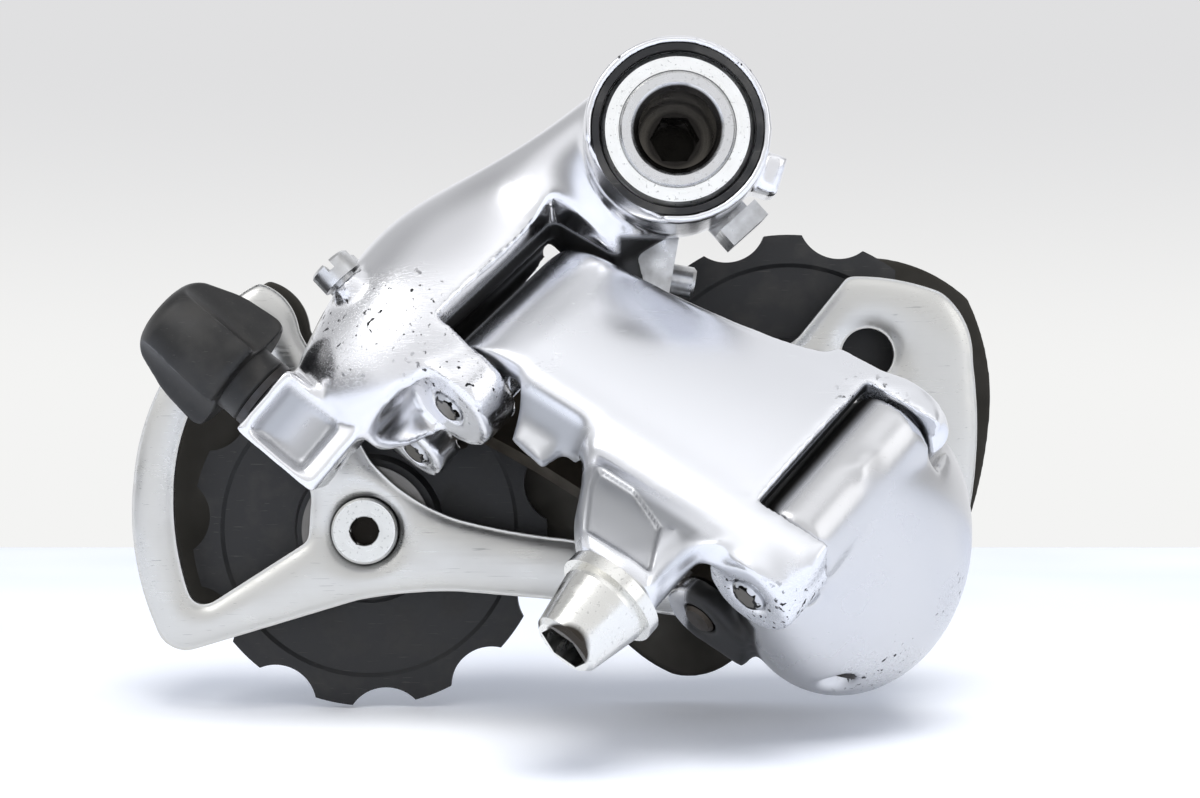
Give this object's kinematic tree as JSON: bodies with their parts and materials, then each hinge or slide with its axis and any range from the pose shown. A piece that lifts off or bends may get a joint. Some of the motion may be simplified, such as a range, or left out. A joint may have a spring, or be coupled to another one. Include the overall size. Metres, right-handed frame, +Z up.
{
  "type": "bicycle rear derailleur",
  "caption": "Bicycle rear gear changer: slanted parallel links carry a sprung short cage that runs the chain over an upper and a lower toothed pulley.",
  "frame": {"origin": "axis of the mounting bolt at the plane of the frame's hanger face", "axes": "+X forward on the bicycle, +Y inboard to the wheel along the mounting bolt's thread, +Z up"},
  "size_m": [0.1102, 0.0653, 0.0797],
  "materials": {
    "forged_polish": "forged aluminium, polished bright",
    "plate_satin": "pressed aluminium plate, satin with a bright rim",
    "plate_dark": "pressed steel plate, dark grey finish",
    "steel_bright": "stainless steel, turned",
    "steel_dark": "steel pin, oiled dark",
    "steel_bush": "bearing steel, worn grey",
    "spring_wire": "spring steel wire",
    "black_nylon": "moulded nylon, matt black",
    "black_knob": "moulded plastic, satin black",
    "seal_rubber": "rubber ring, black",
    "sleeve_ceramic": "ceramic sleeve, off-white"
  },
  "bodies": {
    "mount": {"mounting_bolt": "steel_bright", "mounting_bush": "steel_bush", "retaining_clip": "steel_dark", "stopper_plate": "steel_bright"},
    "angle_adjuster": {"angle_screw": "steel_bright"},
    "knuckle": {"mounting_knuckle": "forged_polish", "boss_seal": "seal_rubber", "boss_spring": "spring_wire", "outer_mount_pin": "steel_dark", "inner_mount_pin": "steel_dark", "return_spring": "spring_wire"},
    "limit_high": {"limit_screw_high": "steel_bright"},
    "limit_low": {"limit_screw_low": "steel_bright"},
    "barrel_slide": {"barrel_detent_ring": "steel_dark"},
    "barrel": {"barrel_bolt": "black_knob", "barrel_knob": "black_knob"},
    "outer_arm": {"outer_link": "forged_polish", "outer_mount_bush": "steel_bush", "outer_pulley_pin": "steel_dark", "cable_washer": "steel_bright", "cable_bolt": "steel_bright"},
    "inner_arm": {"inner_link": "forged_polish", "inner_mount_bush": "steel_bush", "inner_pulley_pin": "steel_dark"},
    "lower_knuckle": {"pulley_knuckle": "forged_polish", "outer_pulley_bush": "steel_bush", "axle_grub_screw": "steel_dark", "knuckle_shield": "seal_rubber", "cage_spring": "spring_wire"},
    "cage": {"cage_axle": "steel_bright", "cage_stop_pin": "steel_bright", "cage_outer_plate": "plate_satin", "cage_inner_plate": "plate_dark", "guide_pulley_bolt": "steel_bright", "tension_pulley_bolt": "steel_bright", "guide_spacer": "steel_bush", "guide_dust_caps": "steel_dark", "bearing_inner_race": "steel_bush", "tension_dust_caps": "steel_dark"},
    "guide_float": {"guide_float_sleeve": "sleeve_ceramic"},
    "guide": {"guide_pulley": "black_nylon"},
    "tension": {"tension_pulley": "black_nylon", "bearing_outer_race": "steel_bush"},
    "balls": {"bearing_balls": "steel_bush"}
  },
  "joints": [
    {"name": "angle_screw_turn", "type": "slide", "parent": "mount", "child": "angle_adjuster", "axis": [-0.9848, 0, 0.1736], "range_m": [-0.002, 0.002]},
    {"name": "hanger_pivot", "type": "hinge", "parent": "mount", "child": "knuckle", "pos_m": [0, 0, 0], "axis": [0, -1, 0], "range_deg": [0, 28], "stiffness_Nm_per_rad": 0.35, "springref_deg": -51.57},
    {"name": "limit_high_turn", "type": "slide", "parent": "knuckle", "child": "limit_high", "axis": [-0.682, 0, 0.7314], "range_m": [0, 0.002]},
    {"name": "limit_low_turn", "type": "slide", "parent": "knuckle", "child": "limit_low", "axis": [-0.682, 0, 0.7314], "range_m": [0, 0.002]},
    {"name": "barrel_travel", "type": "slide", "parent": "knuckle", "child": "barrel_slide", "axis": [-0.766, 0, 0.6428], "range_m": [0, 0.0024]},
    {"name": "barrel_turn", "type": "hinge", "parent": "barrel_slide", "child": "barrel", "pos_m": [-0.0473, -0.014, -0.0298], "axis": [-0.766, 0, 0.6428], "range_deg": [0, 1080]},
    {"name": "shift_swing", "type": "hinge", "parent": "knuckle", "child": "outer_arm", "pos_m": [-0.01666, -0.01162, -0.02143], "axis": [0.6306, 0.4399, 0.6394], "range_deg": [0, 54], "stiffness_Nm_per_rad": 0.25, "springref_deg": -40.11, "deforming": ["return_spring"]},
    {"name": "inner_swing", "type": "hinge", "parent": "knuckle", "child": "inner_arm", "pos_m": [-0.02222, 0.00454, -0.02707], "axis": [0.6306, 0.4399, 0.6394], "range_deg": [0, 54]},
    {"name": "lower_swing", "type": "hinge", "parent": "outer_arm", "child": "lower_knuckle", "pos_m": [0.01588, -0.02874, -0.04173], "axis": [0.6306, 0.4399, 0.6394], "range_deg": [-54, 0]},
    {"name": "cage_swing", "type": "hinge", "parent": "lower_knuckle", "child": "cage", "pos_m": [0.021, 0, -0.0513], "axis": [0, -1, 0], "range_deg": [0, 100], "stiffness_Nm_per_rad": 0.12, "springref_deg": -57.3},
    {"name": "guide_float_slide", "type": "slide", "parent": "cage", "child": "guide_float", "axis": [0, 1, 0], "range_m": [-0.0006, 0.0006]},
    {"name": "guide_spin", "type": "hinge", "parent": "guide_float", "child": "guide", "pos_m": [0.0156, 0.0099, -0.0316], "axis": [0, -1, 0], "continuous": true},
    {"name": "tension_spin", "type": "hinge", "parent": "cage", "child": "tension", "pos_m": [-0.0382, 0.0099, -0.0465], "axis": [0, -1, 0], "continuous": true},
    {"name": "ball_orbit", "type": "hinge", "parent": "cage", "child": "balls", "pos_m": [-0.0382, 0.0099, -0.0465], "axis": [0, -1, 0], "continuous": true}
  ],
  "couplings": [
    {"joint": "barrel_turn", "follows": "barrel_travel", "rad_per_m": 7854},
    {"joint": "inner_swing", "follows": "shift_swing", "ratio": 1},
    {"joint": "lower_swing", "follows": "shift_swing", "ratio": -1},
    {"joint": "ball_orbit", "follows": "tension_spin", "ratio": 0.593}
  ]
}
